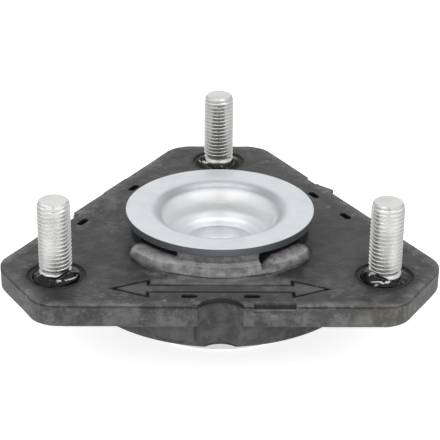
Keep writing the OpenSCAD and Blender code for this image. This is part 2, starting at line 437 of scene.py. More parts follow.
class Effects:
    """Node groups that several finishes share."""

    def __init__(self) -> None:
        """Builds each group once."""
        self.cloud = self._noise("cloud_mask", EVEN)
        self.streak = self._noise("streak_mask", (0.07, 1.0, 1.0))
        self.spot = self._spot()

    @staticmethod
    def _new(name: str, **inputs: float | None) -> tuple[Tree, Graph, Sequence[Socket]]:
        """Starts a node group that puts out one mask.

        Args:
            name: Name of the group.
            inputs: Default of each number by the name of its socket, or None for a vector.

        Returns:
            The group's tree, its graph and the sockets of what it is given.
        """
        tree = bpy.data.node_groups.new(name, "ShaderNodeTree")
        for label, default in inputs.items():
            kind = "NodeSocketVector" if default is None else "NodeSocketFloat"
            socket = tree.interface.new_socket(label, in_out="INPUT", socket_type=kind)
            if default is not None:
                socket.default_value = default
        tree.interface.new_socket("Mask", in_out="OUTPUT", socket_type="NodeSocketFloat")
        g = Graph(tree)
        return tree, g, g.add("NodeGroupInput").outputs

    def _noise(self, name: str, stretch: Point3) -> Tree:
        """Builds a noise mask with a soft threshold.

        Args:
            name: Name of the group.
            stretch: Scale of the pattern along each axis.

        Returns:
            The group's tree.
        """
        tree, g, given = self._new(name, Vector=None, Scale=100.0, Detail=4.0, From=0.4, To=0.7, Turn=None)
        turned = g.add("ShaderNodeVectorRotate", {"Vector": given["Vector"], "Rotation": given["Turn"]},
                       rotation_type="EULER_XYZ")
        drawn = g.add("ShaderNodeMapping", {"Vector": turned.outputs[0], "Scale": stretch})
        grain = g.add("ShaderNodeTexNoise", {"Vector": drawn.outputs[0], "Scale": given["Scale"],
                                             "Detail": given["Detail"], "Roughness": 0.6})
        g.add("NodeGroupOutput", {0: g.rise(grain.outputs[0], given["From"], given["To"])})
        return tree

    def _spot(self) -> Tree:
        """Builds a soft round mask about a point, stretched by a scale."""
        tree, g, given = self._new("spot_mask", Vector=None, Centre=None, Stretch=None, Inner=0.5, Outer=1.0)
        away = g.vector("SUBTRACT", given["Vector"], given["Centre"])
        far = g.vector("LENGTH", g.vector("MULTIPLY", away, given["Stretch"]))
        g.add("NodeGroupOutput", {0: g.rise(far, given["Outer"], given["Inner"])})
        return tree


@dataclass(frozen=True)
class Mottle:
    """A noise pattern between two thresholds, turned by angles in radians, drawn out or even."""

    scale: float
    detail: float
    low: float
    high: float
    turn: Point3 = (0.0, 0.0, 0.0)
    drawn: bool = False


@dataclass(frozen=True)
class Spot:
    """A soft mask in millimetres: full up to the inner radius, nothing beyond the outer one."""

    centre: Point3
    inner: float
    outer: float
    stretch: Point3 = EVEN


@dataclass(frozen=True)
class Patch:
    """A spot of another colour: an even share of it, or the blotches lifted by that share."""

    spot: Spot
    colour: Colour
    share: float
    blotchy: bool = False


class Skin(Graph):
    """A material under way: shader, object coordinates and the colour painted so far."""

    def __init__(self, name: str, fx: Effects | None = None) -> None:
        """Starts a material.

        Args:
            name: Name of the material.
            fx: Shared node groups, where its masks need them.
        """
        self.material = bpy.data.materials.new(name)
        self.material.use_nodes = True
        super().__init__(self.material.node_tree)
        self.fx = fx
        self.shader = self.tree.nodes["Principled BSDF"].inputs
        self.at = self.add("ShaderNodeTexCoord").outputs["Object"]
        self.x, self.y, self.z = self.parts(self.at)
        self.base: object = None

    def fix(self, values: dict[str, object]) -> None:
        """Sets sockets of the shader that are the same all over the surface."""
        for name, value in values.items():
            self.shader[name].default_value = value

    def mottle(self, look: Mottle) -> Socket:
        """Places a noise mask and returns it."""
        return self.group(self.fx.streak if look.drawn else self.fx.cloud,
                          {"Vector": self.at, "Scale": look.scale, "Detail": look.detail, "From": look.low,
                           "To": look.high, "Turn": look.turn})

    def spot(self, spot: Spot) -> Socket:
        """Places a soft round mask and returns it."""
        centre = tuple(c * MM for c in spot.centre)
        return self.group(self.fx.spot, {"Vector": self.at, "Centre": centre, "Stretch": spot.stretch,
                                         "Inner": spot.inner * MM, "Outer": spot.outer * MM})

    def step(self, value: object, low: float, high: float) -> Socket:
        """Returns a smooth step of a length between two sizes in millimetres."""
        return self.rise(value, low * MM, high * MM)

    def up(self, low: float, high: float) -> Socket:
        """Returns a smooth step of the height between two sizes in millimetres."""
        return self.step(self.z, low, high)

    def band(self, start: Point2, end: Point2, value: object = None) -> Socket:
        """Returns the product of two smooth steps of the height, or of a length that is given."""
        value = self.z if value is None else value
        return self.times(self.step(value, *start), self.step(value, *end))

    def reach(self) -> Socket:
        """Returns the distance from the strut axis."""
        return self.vector("LENGTH", self.vector("MULTIPLY", self.at, FLAT))

    def paint(self, colour: object, *masks: object) -> None:
        """Lays a colour over what is painted so far, by the product of masks and shares."""
        self.base = self.blend(self.times(*masks), self.base, colour)

    def finish(self, rough: Socket, *bumps: tuple[Socket, float, float]) -> Material:
        """Wires colour, roughness and bumps to the shader.

        Args:
            rough: The roughness.
            bumps: Height, strength and distance in millimetres of each bump, the lowest first.

        Returns:
            The material.
        """
        self.tree.links.new(self.base, self.shader["Base Color"])
        self.tree.links.new(rough, self.shader["Roughness"])
        below = {}
        for height, strength, distance in bumps:
            values = {"Height": height, "Strength": strength, "Distance": distance * MM}
            below = {"Normal": self.add("ShaderNodeBump", {**values, **below}).outputs[0]}
        self.tree.links.new(below["Normal"], self.shader["Normal"])
        return self.material


@dataclass(frozen=True)
class Rubber:
    """Moulded rubber, matt, with dust and scuffs, painted shade in its recesses and under the flange, and
    painted light on and in front of the collar.
    """

    dark: Colour = (0.021, 0.021, 0.023)
    mid: Colour = (0.041, 0.041, 0.044)
    dust: Colour = (0.270, 0.268, 0.264)
    shade: Colour = (0.105, 0.101, 0.102)
    # The collar's worn, dusty skin, painted paler partly to stand in for the front light under the flange.
    collar: Colour = (0.335, 0.326, 0.328)
    ledge_highlight: Colour = (0.50, 0.49, 0.49)
    foot: Colour = (0.165, 0.160, 0.161)
    stain: Colour = (0.175, 0.158, 0.105)
    # Near-black: the dark halos round the studs, and painted shade in recesses and under the flange; it also
    # darkens the body's bottom edge.
    black_and_painted_shade: Colour = (0.011, 0.011, 0.012)
    specular: float = 0.29
    gloss: Point2 = (0.44, 0.72)
    tones: Mottle = Mottle(70.0, 6.0, 0.34, 0.68)
    blotches: Mottle = Mottle(240.0, 6.0, 0.42, 0.70)
    specks: Mottle = Mottle(900.0, 6.0, 0.52, 0.72)
    fields: Mottle = Mottle(36.0, 4.0, 0.44, 0.62)
    scuffs: Mottle = Mottle(330.0, 8.0, 0.56, 0.72)
    worn: Mottle = Mottle(420.0, 9.0, 0.32, 0.68)
    scratch: Mottle = Mottle(1000.0, 5.0, 0.60, 0.78, (0.0, 0.0, -0.5), True)
    drag: Mottle = Mottle(420.0, 5.0, 0.50, 0.74, (0.0, 0.0, 0.12), True)
    grain: Mottle = Mottle(1500.0, 3.0, 0.2, 0.8)
    waves: Mottle = Mottle(170.0, 3.0, 0.2, 0.8)
    near_collar: Spot = Spot((0.0, 0.0, 2.8), 32.5, 35.0)
    clean: Spot = Spot((36.0, -2.0, 0.0), 10.0, 29.0, (1.0, 0.7, 1.0))
    soaked: Spot = Spot((47.0, -47.5, -3.5), 1.5, 8.0, (0.7, 0.8, 1.5))
    notch: Spot = Spot((0.0, NOTCH_Y, 0.0), 8.5, 8.8, FLAT)
    notch_wall: Spot = Spot((0.0, NOTCH_Y, 0.0), 7.15, 7.35, FLAT)
    pips: tuple[Spot, ...] = (Spot((15.5, -48.7, -3.4), 0.64, 1.6), Spot((24.2, -48.4, -3.3), 0.80, 2.0))
    patches: tuple[Patch, ...] = (
        Patch(Spot((-25.0, -37.0, 0.0), 2.0, 3.8, (0.60, 1.0, 1.0)), shade, 0.45),
        Patch(Spot((25.0, -37.0, 0.0), 2.0, 3.8, (0.60, 1.0, 1.0)), shade, 0.45),
        Patch(Spot((34.0, -47.9, -4.0), 2.0, 6.0, (0.35, 1.0, 0.8)), foot, 0.25, True),
        # Painted light: lightens the top face in front of the collar, where the flange's shadow falls.
        Patch(Spot((0.0, -37.5, 0.0), 2.5, 8.0, (0.22, 1.0, 1.0)), shade, 0.55),
        # Painted light, blotchy: lightens the collar's lower front and the fillet at its foot, in the
        # flange's shadow.
        Patch(Spot((0.0, -32.2, 0.0), 1.8, 4.2, (0.15, 1.0, 1.0)), foot, 0.55, True),
        Patch(Spot((-15.0, -43.5, -10.3), 2.5, 3.6, (0.42, 0.5, 1.0)), shade, 0.70))
    crack_x: float = 1.9
    crack_wander: float = 0.8

    @staticmethod
    def outline(skin: Skin) -> Socket:
        """Measures how far a point lies outside the plate's six sides.

        Args:
            skin: The material under way.

        Returns:
            The distance in metres, negative inside.
        """
        far = None
        for k in range(6):
            along = skin.vector("DOT_PRODUCT", skin.at, (*plan(30.0 + 60.0 * k, 1.0), 0.0))
            past = skin.maths("SUBTRACT", along, (CORNER_D if k % 2 else SIDE_D) * MM, False)
            far = past if far is None else skin.maths("MAXIMUM", far, past, False)
        return far

    def collar_wear_and_painted_light(self, skin: Skin, ring: Socket, blotches: Socket) -> None:
        """Paints the collar's worn skin, pale partly as painted light, a painted highlight along its ledge, a
        band of painted shade below the flange, and the crack.

        Args:
            skin: The material under way.
            ring: Mask of the collar.
            blotches: The rubber's blotches.
        """
        # Worn, dusty skin of the collar, paler partly as painted light under the flange.
        skin.paint(skin.blend(skin.mottle(self.worn), shaded(self.collar, 0.46), self.collar), ring, 0.95)
        # Painted highlight along the top of the collar's ledge.
        skin.paint(self.ledge_highlight, skin.band((3.1, 3.4), (4.0, 3.7)), ring, 0.35)
        # Painted shade in a band above the ledge, below the flange, across the collar's middle.
        middle = skin.step(skin.size(skin.x), 15.5, 13.5)
        skin.paint(self.shade, skin.band((3.9, 4.2), (5.0, 4.5)), middle, ring, 0.55)
        line = skin.maths("ADD", skin.x, skin.times(blotches, self.crack_wander * MM), False)
        line = skin.size(skin.maths("SUBTRACT", line, self.crack_x * MM, False))
        skin.paint(self.shade, skin.step(line, 0.28, 0.12), skin.up(3.1, 2.9), ring, 0.55)

    def lay_dust(self, skin: Skin, away: Socket, edge: Socket, dusty: Socket, smudge: Socket) -> None:
        """Paints smudges, specks, scuffs and scratches of dust.

        Args:
            skin: The material under way.
            away: Distance outside the plate's sides.
            edge: Mask along the plate's edge.
            dusty: Mask of where dust lies.
            smudge: Mask of the smudges in it.
        """
        skin.paint(self.dust, smudge, skin.lift(edge, 0.20, 0.40))
        skin.paint(self.dust, skin.mottle(self.specks), dusty, 0.50)
        skin.paint(self.dust, skin.mottle(self.scuffs), skin.step(away, -14.0, -3.0), 0.45)
        scratched = skin.times(skin.mottle(self.scratch), dusty)
        dragged = skin.times(skin.mottle(self.drag), edge)
        skin.paint(self.dust, skin.most(scratched, dragged), 0.35)

    def darken(self, skin: Skin, away: Socket, blotches: Socket) -> None:
        """Paints shade in the recesses, under the flange and in the notch's undercut, darkens the round
        body's bottom edge, and paints the paler skirt and notch and the dark halos round the studs.

        Args:
            skin: The material under way.
            away: Distance outside the plate's sides.
            blotches: The rubber's blotches.
        """
        reach, notch = skin.reach(), skin.spot(self.notch)
        wall = skin.step(reach, 42.5, 43.5)
        # Painted shade on the neck under the flange, in the gaps beside the lobes.
        skin.paint(self.black_and_painted_shade, skin.step(reach, 28.4, 27.6), skin.up(1.0, 2.0), 0.9)
        skirt = skin.most(skin.times(skin.up(-7.0, -7.6), wall), skin.times(notch, skin.up(-1.6, -3.0)))
        skin.paint(self.foot, skirt, skin.lift(blotches, 0.45, 0.22))
        # Painted shade in what lies below the top face: pockets, stud seats and the arrow's groove.
        sunk = skin.times(skin.band((-0.25, -0.7), (-2.3, -2.1)), skin.step(away, -1.6, -2.2),
                          skin.rest(notch))
        # Painted shade in the undercut below the notch's flared top edge.
        arch = skin.times(skin.maths("SUBTRACT", notch, skin.spot(self.notch_wall)),
                          skin.band((-1.9, -1.3), (-0.05, -0.25)), skin.step(away, -0.6, -1.6))
        skin.paint(self.black_and_painted_shade, skin.most(sunk, arch), 0.85)
        # Darker towards the round body's bottom edge.
        skin.paint(self.black_and_painted_shade, skin.up(-14.2, -15.0), wall, 0.8)
        top = skin.up(-3.0, -2.0)
        for corner in Corner:
            halo = skin.spot(Spot((*plan(corner.value, STUD_CIRCLE_R), 0.0), 8.6, 11.2, FLAT))
            skin.paint(self.black_and_painted_shade, halo, top, 0.80)

    def material(self, fx: Effects) -> Material:
        """Builds the rubber's material.

        Args:
            fx: Shared node groups.

        Returns:
            The material.
        """
        skin = Skin("moulded_rubber", fx)
        skin.fix({"Specular IOR Level": self.specular})
        away = self.outline(skin)
        edge = skin.step(away, -4.5, -0.4)
        blotches = skin.mottle(self.blotches)
        uneven = skin.rest(skin.spot(self.clean), 0.85)
        ring = skin.times(skin.spot(self.near_collar), skin.up(0.1, 1.4),
                          skin.step(skin.size(skin.y), 15.0, 18.5))
        skin.base = skin.blend(skin.mottle(self.tones), self.dark, self.mid)
        skin.paint(self.shade, blotches, uneven, 0.30)
        skin.paint(self.shade, edge, 0.44)
        for patch in self.patches:
            share = skin.lift(blotches, 1.0, patch.share) if patch.blotchy else patch.share
            skin.paint(patch.colour, skin.spot(patch.spot), share)
        self.collar_wear_and_painted_light(skin, ring, blotches)
        skin.paint(self.stain, skin.spot(self.soaked), skin.lift(blotches, 1.0, 0.35), 0.85)
        fields = skin.times(skin.mottle(self.fields), uneven)
        dusty = skin.most(fields, skin.times(edge, 0.90), skin.times(ring, 0.35))
        smudge = skin.times(blotches, dusty)
        self.lay_dust(skin, away, edge, dusty, smudge)
        self.darken(skin, away, blotches)
        for pip in self.pips:
            skin.paint(self.dust, skin.spot(pip), 0.32)
        return skin.finish(skin.spread(smudge, *self.gloss), (skin.mottle(self.grain), 0.10, 0.3),
                           (skin.mottle(self.waves), 0.17, 0.9))


@dataclass(frozen=True)
class Zinc:
    """Zinc-plated steel with a satin finish; the rim's radius, and the heights of a painted highlight and of
    a band of painted shade at the bend, are in millimetres.
    """

    name: str
    light: Colour
    dull: Colour
    gloss: Point2 = (0.36, 0.46)
    rim: float | None = None
    painted_highlight: Point2 | None = None
    bend: Point2 | None = None
    cut: Colour = (0.20, 0.21, 0.22)
    highlight_colour: Colour = (0.92, 0.935, 0.93)
    clouds: Mottle = Mottle(120.0, 5.0, 0.35, 0.70)
    specks: Mottle = Mottle(900.0, 4.0, 0.55, 0.75)
    shear: Mottle = Mottle(1400.0, 3.0, 0.40, 0.70, (0.0, 1.57, 0.0), True)

    def material(self, fx: Effects) -> Material:
        """Builds the plated metal's material.

        Args:
            fx: Shared node groups.

        Returns:
            The material.
        """
        skin = Skin(self.name, fx)
        skin.fix({"Metallic": 1.0})
        clouds, specks = skin.mottle(self.clouds), skin.mottle(self.specks)
        skin.base = skin.blend(clouds, self.light, self.dull)
        skin.paint(shaded(self.dull, 0.74), specks, 0.14)
        rough = skin.spread(clouds, *self.gloss)
        # Painted shade: a darker band round the lip's bend, strongest at the back.
        if self.bend is not None:
            low, high = self.bend
            behind = skin.lift(skin.step(skin.y, 3.0, 15.0), 0.65, 0.35)
            skin.paint(shaded(self.dull, 0.60), skin.band((low, low + 0.8), (high, high - 0.6)), behind)
        # Painted highlight: the well's inside, or the base's crown, in a brighter colour.
        if self.painted_highlight is not None:
            inside = skin.up(*self.painted_highlight)
            if self.bend is not None:
                inside = skin.times(inside, skin.up(-3.5, 2.0))
            skin.paint(self.highlight_colour, inside, skin.rest(clouds, 0.15))
        if self.rim is not None:
            edge = skin.step(skin.reach(), self.rim - 0.12, self.rim - 0.05)
            shear = skin.times(skin.mottle(self.shear), 0.5)
            skin.paint(skin.blend(shear, self.cut, shaded(self.cut, 1.2)), edge)
            rough = skin.most(rough, skin.times(edge, 0.5))
        return skin.finish(rough, (specks, 0.03, 0.2))


@dataclass(frozen=True)
class Flash:
    """Glossy black flash squeezed up around the studs, with painted glints on each bead."""

    colour: Colour = (0.005, 0.005, 0.005)
    lighter: Colour = (0.011, 0.011, 0.011)
    glint: Colour = (0.42, 0.41, 0.40)
    gleam: Colour = (0.70, 0.69, 0.67)
    specular: float = 0.28
    gloss: Point2 = (0.07, 0.20)
    clouds: Mottle = Mottle(400.0, 3.0, 0.4, 0.7)
    sparks: Mottle = Mottle(420.0, 2.0, 0.63, 0.68)
    breaks: Mottle = Mottle(650.0, 2.0, 0.40, 0.50)
    lines: tuple[Spot, ...] = (Spot((-44.7, -33.9, 1.1), 2.94, 4.2), Spot((47.6, -35.3, 1.1), 2.52, 3.6),
                               Spot((-4.9, 53.6, 1.1), 1.68, 2.4))

    def material(self, fx: Effects) -> Material:
        """Builds the flash's material.

        Args:
            fx: Shared node groups.

        Returns:
            The material.
        """
        skin = Skin("glossy_flash", fx)
        skin.fix({"Specular IOR Level": self.specular})
        clouds = skin.mottle(self.clouds)
        skin.base = skin.blend(clouds, self.colour, self.lighter)
        # Painted glints: sparse light spots on the bead.
        skin.paint(self.glint, skin.mottle(self.sparks), skin.up(-0.4, 0.4))
        # Painted glint lines at a wavy height on each bead, at given spots.
        wavy = skin.maths("ADD", skin.z, skin.times(clouds, 0.4 * MM), False)
        line = skin.times(skin.band((1.00, 1.15), (1.50, 1.35), wavy), skin.mottle(self.breaks))
        for spot in self.lines:
            skin.paint(self.gleam, skin.spot(spot), line)
        return skin.finish(skin.spread(clouds, *self.gloss), (clouds, 0.12, 0.4))


@dataclass
class Moulding:
    """The rubber body: plate, round body, neck, collar and everything moulded into them."""

    corner_r: float = 9.0
    plate_t: float = 7.0
    body_r: float = 45.9
    body_z: float = -15.3
    neck_r: float = 28.0
    bore_r: float = 18.4
    flange_under: float = 6.6
    sides: tuple[float, float, float] = (270.0, 30.0, 150.0)
    pocket_out: float = 41.6
    pocket_along: tuple[float, float, float] = (9.2, 9.2, 15.2)
    ledge_along: tuple[float, float, float] = (9.5, 16.2, 11.2)
    ledge_out: tuple[float, float, float] = (45.8, 47.0, 45.8)
    seed: Point3 = (3.7, 1.9, 8.3)
    wave_deep: float = 0.16
    ripple_deep: float = 0.07
    groove_deep: float = 0.60
    wrinkles: tuple[Point2, ...] = ((0.38, 3.2), (0.20, 1.4))
    lobe_from: float = 19.0
    lobe_to: float = 37.0
    nubs: tuple[tuple[Point3, Point3, float, float], ...] = (
        ((14.0, -48.7, -4.4), (17.0, -46.5, -2.55), 0.6, 0.0),
        ((23.4, -48.4, -5.2), (25.0, -46.5, -1.7), 0.5, 0.0),
        ((-7.8, -46.5, -13.0), (7.8, -43.0, -7.2), 0.3, -19.0),
        ((-21.5, -49.0, -4.4), (-7.6, -46.0, -0.5), 0.45, 240.0))

    def slab(self) -> Shape:
        """Builds the triangular plate with its parting line and uneven edge."""
        corners = []
        for k in range(6):
            near, far = (SIDE_D, CORNER_D) if k % 2 == 0 else (CORNER_D, SIDE_D)
            along = (far - near * math.cos(math.radians(60))) / math.sin(math.radians(60))
            corners.append(plan(30.0 + 60.0 * k, near, along))
        shape = Shape.prism(corners, -self.plate_t, 0.0)
        bm = shape.bm
        shape.soften(shape.uprights(), self.corner_r * math.tan(math.radians(30)), 10)
        level = [e for e in bm.edges if abs(e.verts[0].co.z - e.verts[1].co.z) < 1e-6
                 and e.calc_length() > 15 * MM]
        bmesh.ops.subdivide_edges(bm, edges=level, cuts=30)
        shape.loop_at(-0.12)
        groove = shape.loop_at(-0.40)
        shape.loop_at(-0.85)
        bm.normal_update()
        out = {v: Vector((v.normal.x, v.normal.y, 0)).normalized() for v in bm.verts}
        for v, way in out.items():
            at = v.co / MM
            wave = noise.noise(Vector((at.x / 9, at.y / 9, at.z / 6)) + Vector(self.seed))
            ripple = noise.noise(Vector((at.x / 3, at.y / 3, at.z / 2)) - Vector(self.seed))
            v.co += way * (self.wave_deep * wave + self.ripple_deep * ripple) * MM
        for v in groove:
            v.co -= out[v] * self.groove_deep * MM
        shape.soften(shape.sharp_edges(-0.1, 1.0), 0.10, 2)
        return shape.soften(shape.sharp_edges(-8.0, -6.9), 0.8, 3)

    def round_body(self) -> Shape:
        """Builds the round body, the neck and the lower cushion as one turned ring."""
        under = self.flange_under + 0.15
        section = [(self.bore_r, -22.8), (27.5, -22.8), (27.5, -17.0),
                   *arc((29.5, -17.0), 2.0, 180, 90, 5),
                   *arc((self.body_r - 1.4, self.body_z + 1.4), 1.4, -90, 0, 5),
                   (self.body_r, -7.4), (self.body_r - 0.25, -7.0), (self.body_r - 0.25, -1.0), (29.9, -1.0),
                   *arc((29.9, 1.9), 2.2, 270, 180, 6),
                   (self.neck_r, under), (23.2, under),
                   *arc((23.2, 2.0), 4.75, 100, 178, 6),
                   (self.bore_r, 1.6)]
        return Shape.lathe(section, 180)

    def collar(self) -> Shape:
        """Builds the collar below the flange's front: a ribbed wall that runs out into a lobe each side."""
        wall = [(25.0, -0.6), (33.0, -0.6), (32.8, 0.05), (32.3, 0.30), (31.5, 0.45), (31.7, 0.85),
                (31.35, 1.45), (30.7, 2.15), (30.25, 2.75), (30.15, 3.15), (29.8, 3.40), (28.95, 3.52),
                (28.7, 4.0), (28.6, 4.75), (25.0, 4.8)]
        lobe = [(25.0, -0.6), (32.9, -0.6), (33.0, 0.05), (32.9, 0.40), (32.7, 0.70), (32.9, 1.10),
                (32.85, 1.80), (32.7, 2.50), (32.4, 3.10), (32.0, 3.60), (31.5, 4.05), (30.8, 4.45),
                (30.0, 4.70), (29.0, 4.8), (25.0, 4.8)]
        shape = Shape.lathe(wall, 76, 270.0 - 57.0, 114.0)

        def blend(at: Vector) -> Vector:
            """Moves a point from the wall's section towards the lobe's.

            Args:
                at: The point.

            Returns:
                Its place by its angle from the front, with wrinkles.
            """
            reach = math.hypot(at.x, at.y)
            n = min(range(len(wall)), key=lambda k: (wall[k][0] - reach) ** 2 + (wall[k][1] - at.z) ** 2)
            angle = math.degrees(math.atan2(at.y, at.x))
            share = ramp(abs(off_by(angle, 270.0)), self.lobe_from, self.lobe_to)
            out, up = (a + (b - a) * share for a, b in zip(wall[n], lobe[n]))
            if 0.0 < up and out > 27.0:
                spot = Vector(self.seed) + Vector((at.x, at.y, 1.4 * at.z))
                out += sum(deep * noise.noise(spot / wide) for deep, wide in self.wrinkles)
            return Vector((at.x * out / reach, at.y * out / reach, up))

        shape.warp(blend)
        ends = [f for f in shape.bm.faces if len(f.verts) == len(wall)]
        edges = {e for f in ends for e in f.edges if all(v.co.z > 0.0 for v in e.verts)}
        return shape.soften(edges, 1.5, 4)

    def front_wall(self) -> Shape:
        """Builds the part of the collar's wall that closes up to the flange."""
        section = [(25.0, 3.0), (28.7, 3.0), (28.65, 4.2), (28.6, 5.2), (28.75, 6.1), (28.6, 6.68),
                   (25.0, 6.68)]
        return Shape.lathe(section, 36, 270.0 - 26.5, 51.0)

    def additions(self) -> list[Shape]:
        """Builds everything that is joined to the plate."""
        wanted = [self.round_body()]
        for half in (0.0, 180.0):
            wanted += [self.collar().turn(half), self.front_wall().turn(half)]
        ridge = [(6.6, -0.9), (6.6, 0.28), (7.4, 0.42), (8.5, 0.32), (9.2, 0.0), (9.2, -0.9)]
        wanted.append(Shape.lathe(ridge, 40, 20.0, 140.0).move(0.0, NOTCH_Y))
        wanted += [Shape.block(low, high, rounding).turn(angle) for low, high, rounding, angle in self.nubs]
        tab = [(9.0, -46.5), (15.2, -46.5), (15.0, -48.0), (13.2, -48.7), (9.8, -49.8), (9.1, -49.3)]
        wanted.append(Shape.prism(tab, -3.4, -0.15).turn(120.0))
        return wanted

    def stud_seat(self) -> Shape:
        """Builds the tool for a stud's ringed recess, its shank hole and the pocket for its head."""
        section = [(0.0, -8.5), (8.2, -8.5), (8.2, -5.0), (5.0, -5.0), (5.0, -1.9), (5.9, -1.9),
                   (6.3, -0.95), (6.9, -0.85), (7.3, -0.35), (7.7, -0.32), (8.1, -0.62), (8.5, -0.55),
                   (8.9, 0.05), (8.9, 1.5), (0.0, 1.5)]
        return Shape.lathe(section, 72)

    def relief(self, start: float) -> Shape:
        """Builds the tool for the deep gap between a lobe and the flange, from an angle in degrees."""
        section = [(24.0, 4.6), (34.0, 4.3), (34.0, 7.3), (24.0, 7.3)]
        return Shape.lathe(section, 12, start, 32.0)

    @staticmethod
    def arrow() -> Shape:
        """Builds the tool for the double-headed arrow's outline, a groove with sloping walls."""
        half = [(20.8, -2.65), (20.8, -5.9), (33.2, 0.0), (20.8, 5.9), (20.8, 2.65)]
        shape = Shape.prism([*half, *[(-x, -y) for x, y in half]], 0.2, 0.8).move(0.0, -37.0)
        face = min(shape.bm.faces, key=lambda f: f.calc_center_median().z)
        for wide, level in ((0.22, -1.0), (0.70, -1.0), (0.22, 0.2)):
            bmesh.ops.inset_region(shape.bm, faces=[face], thickness=wide * MM, use_even_offset=True,
                                   use_boundary=True)
            for v in face.verts:
                v.co.z = level * MM
        return shape.tidy()

    def takeaways(self) -> list[list[Shape]]:
        """Builds the tools for all that is cut out of the rubber, in groups that stay clear of each other."""
        notch = [(0.0, -17.0), (7.1, -17.0), (7.1, -1.6), (7.55, -1.25), (7.55, -0.55), (7.15, -0.1),
                 (7.1, 1.5), (0.0, 1.5)]
        wanted = [Shape.lathe(notch, 64).move(0.0, NOTCH_Y)]
        for side, along, near, deep in zip(self.sides, self.pocket_along, self.ledge_along, self.ledge_out):
            wanted.append(Shape.block((near, -50.5, -2.4), (21.9, -deep, 1.0), 0.25).turn(side - 270.0))
            for way in (-1, 1):
                wanted.append(self.pocket().move(way * along, -self.pocket_out).turn(side - 270.0))
        for corner in Corner:
            wanted.append(self.stud_seat().move(0.0, STUD_CIRCLE_R).turn(corner.value - 90.0))
        gaps = [self.relief(start).turn(half) for start in (210.0, 298.0) for half in (0.0, 180.0)]
        slant = [(-3.5, 1.8), (-1.9, 2.0), (3.4, 5.9), (3.4, 7.4), (-2.95, 7.4)]
        slant = Shape.prism(slant, 24.6, 34.0).turn(90.0, "X").turn(90.0).turn(300.0)
        return [wanted, gaps, [slant], [self.arrow()]]

    @staticmethod
    def pocket() -> Shape:
        """Builds the tool for an oval pocket with a rounded mouth."""
        shape = Shape.prism([(-2.5, -1.1), (2.5, -1.1), (2.5, 1.1), (-2.5, 1.1)], -1.85, 1.0)
        return shape.soften(shape.uprights(), 1.08, 6)

    def build(self) -> Piece:
        """Builds the whole moulding around the steel plate and returns it."""
        body = self.slab().solid("rubber_moulding")
        middle = [(0.0, -9.0), (24.0, -9.0), (24.0, 2.0), (0.0, 2.0)]
        combine(body, Shape.lathe(middle, 96).solid("tool"), Join.TAKE)
        for shape in self.additions():
            combine(body, shape.solid("tool"), Join.ADD)
        for group in self.takeaways():
            combine(body, Shape.gather(group).solid("tool"), Join.TAKE)
        smooth(body, 32.0)
        return body


@dataclass
class Spool:
    """The two zinc-plated cups in the middle."""

    well_r: float = 16.2
    sheet: float = 2.4
    flange_h: float = 9.0
    lip_r: float = 7.0
    floor_z: float = -2.5
    fillet: float = 3.5
    floor_hole_r: float = 11.0
    rod_hole_r: float = 7.1
    base_r: float = 30.0
    base_z: float = -25.0
    steps: int = 192

    def upper(self) -> Piece:
        """Builds the upper cup with its rolled lip and flange."""
        t, edge = self.sheet, 0.18
        lip_x, lip_z = self.well_r + self.lip_r, self.flange_h - self.lip_r
        in_x, in_z = self.well_r - self.fillet, self.floor_z + self.fillet
        under = self.flange_h - t
        section = [*arc((FLANGE_R - edge, under + edge), edge, -90, 0, 4),
                   *arc((FLANGE_R - edge, self.flange_h - edge), edge, 0, 90, 4),
                   (lip_x + 2.5, self.flange_h),
                   *arc((lip_x, lip_z), self.lip_r, 90, 180, 16),
                   *arc((in_x, in_z), self.fillet, 0, -90, 8),
                   *arc((self.floor_hole_r + 0.3, self.floor_z - 0.3), 0.3, 90, 180, 3),
                   (self.floor_hole_r, self.floor_z - t),
                   *arc((in_x, in_z), self.fillet + t, -90, 0, 10),
                   *arc((lip_x, lip_z), self.lip_r - t, 180, 90, 12)]
        obj = Shape.lathe(section, self.steps).solid("upper_cup_drawn")
        smooth(obj, 40.0)
        return obj

    def lower(self) -> Piece:
        """Builds the lower cup with its crown, rod hole and base flange."""
        t, edge, crown, bend = self.sheet, 0.5, 5.0, 3.0
        wall = self.well_r + t
        top = self.floor_z - t
        base_top = self.base_z + t
        section = [(self.rod_hole_r, top - t + 0.2), (self.rod_hole_r, top - 0.2),
                   (self.rod_hole_r + 0.2, top),
                   *arc((wall - crown, top - crown), crown, 90, 0, 8),
                   *arc((wall + bend, base_top + bend), bend, 180, 270, 8),
                   *arc((self.base_r - edge, base_top - edge), edge, 90, 0, 4),
                   *arc((self.base_r - edge, self.base_z + edge), edge, 0, -90, 4),
                   *arc((wall + bend, base_top + bend), bend + t, 270, 180, 10),
                   *arc((wall - crown, top - crown), crown - t, 0, 90, 6),
                   (self.rod_hole_r + 0.2, top - t)]
        obj = Shape.lathe(section, self.steps).solid("lower_cup_drawn")
        smooth(obj, 40.0)
        return obj


